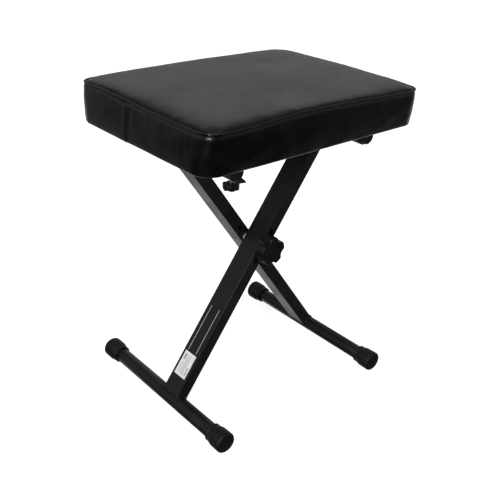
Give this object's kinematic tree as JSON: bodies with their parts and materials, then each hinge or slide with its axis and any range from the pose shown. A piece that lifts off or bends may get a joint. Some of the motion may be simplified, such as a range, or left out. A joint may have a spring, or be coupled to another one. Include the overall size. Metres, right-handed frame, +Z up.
{
  "type": "piano bench",
  "caption": "Folding X-frame keyboard bench with a padded rectangular vinyl seat, round rubber-capped feet, a star lock knob at the crossing and swinging latches under the seat.",
  "frame": {"origin": "on the floor, under the middle of the seat", "axes": "+Z up; +X along the long side of the seat, towards the side that the front leg rises to; +Y towards the rear leg, away from the lock knob"},
  "size_m": [0.4278, 0.3376, 0.5355],
  "materials": {
    "powder_coat": "satin black powder coat",
    "zinc_steel": "zinc plated steel",
    "cap_rubber": "matt black rubber",
    "knob_plastic": "fine textured black plastic",
    "plug_plastic": "moulded black plastic",
    "nylon": "natural nylon",
    "vinyl": "smooth satin black vinyl",
    "foam": "open cell foam",
    "plywood": "bare plywood",
    "dust_cloth": "black non-woven cloth",
    "white_label": "plain white label",
    "stripe_ink": "light grey print"
  },
  "bodies": {
    "front_frame": {"front_leg": "powder_coat", "left_foot_tube": "powder_coat", "right_cross_tube": "powder_coat", "left_front_foot_cap": "cap_rubber", "left_rear_foot_cap": "cap_rubber", "right_front_tube_plug": "plug_plastic", "right_rear_tube_plug": "plug_plastic", "front_washer": "zinc_steel", "pivot_spacer": "nylon", "leg_label": "white_label", "leg_stripes": "stripe_ink"},
    "rear_frame": {"rear_leg": "powder_coat", "right_foot_tube": "powder_coat", "left_cross_tube": "powder_coat", "right_front_foot_cap": "cap_rubber", "right_rear_foot_cap": "cap_rubber", "left_front_tube_plug": "plug_plastic", "left_rear_tube_plug": "plug_plastic", "pivot_bolt": "zinc_steel", "rear_washer": "zinc_steel"},
    "lock_knob_body": {"lock_knob": "knob_plastic", "lock_knob_nut": "zinc_steel"},
    "seat": {"seat_board": "plywood", "seat_foam": "foam", "seat_cover": "vinyl", "seat_welt": "vinyl", "dust_cover": "dust_cloth", "staples": "zinc_steel", "front_hinge_strap": "powder_coat", "rear_hinge_strap": "powder_coat", "front_saddle": "powder_coat", "rear_saddle": "powder_coat", "front_weld_nut": "zinc_steel", "rear_weld_nut": "zinc_steel", "strap_screws": "zinc_steel", "saddle_screws": "zinc_steel"},
    "front_latch": {"front_latch_plate": "powder_coat"},
    "rear_latch": {"rear_latch_plate": "powder_coat"},
    "front_thumb_screw": {"front_thumb_knob": "knob_plastic", "front_thumb_stud": "zinc_steel"},
    "rear_thumb_screw": {"rear_thumb_knob": "knob_plastic", "rear_thumb_stud": "zinc_steel"}
  },
  "joints": [
    {"name": "leg_fold", "type": "hinge", "parent": "front_frame", "child": "rear_frame", "pos_m": [0, 0, 0.26001], "axis": [0, -1, 0], "range_deg": [0, 98]},
    {"name": "seat_follow", "type": "hinge", "parent": "front_frame", "child": "seat", "pos_m": [0.13571, 0, 0.44817], "axis": [0, -1, 0], "range_deg": [0, 49]},
    {"name": "lock_knob_turn", "type": "hinge", "parent": "rear_frame", "child": "lock_knob_body", "pos_m": [0, -0.057, 0.26001], "axis": [0, -1, 0], "continuous": true},
    {"name": "front_latch_swing", "type": "hinge", "parent": "seat", "child": "front_latch", "pos_m": [-0.11581, -0.092, 0.43017], "axis": [0, 0, 1], "range_deg": [-74, 90]},
    {"name": "front_thumb_turn", "type": "hinge", "parent": "seat", "child": "front_thumb_screw", "pos_m": [-0.11581, -0.092, 0.41368], "axis": [0, 0, 1], "continuous": true},
    {"name": "rear_latch_swing", "type": "hinge", "parent": "seat", "child": "rear_latch", "pos_m": [-0.11581, 0.092, 0.43017], "axis": [0, 0, 1], "range_deg": [-90, 74]},
    {"name": "rear_thumb_turn", "type": "hinge", "parent": "seat", "child": "rear_thumb_screw", "pos_m": [-0.11581, 0.092, 0.41368], "axis": [0, 0, 1], "continuous": true}
  ],
  "couplings": [
    {"joint": "seat_follow", "follows": "leg_fold", "ratio": 0.5}
  ]
}
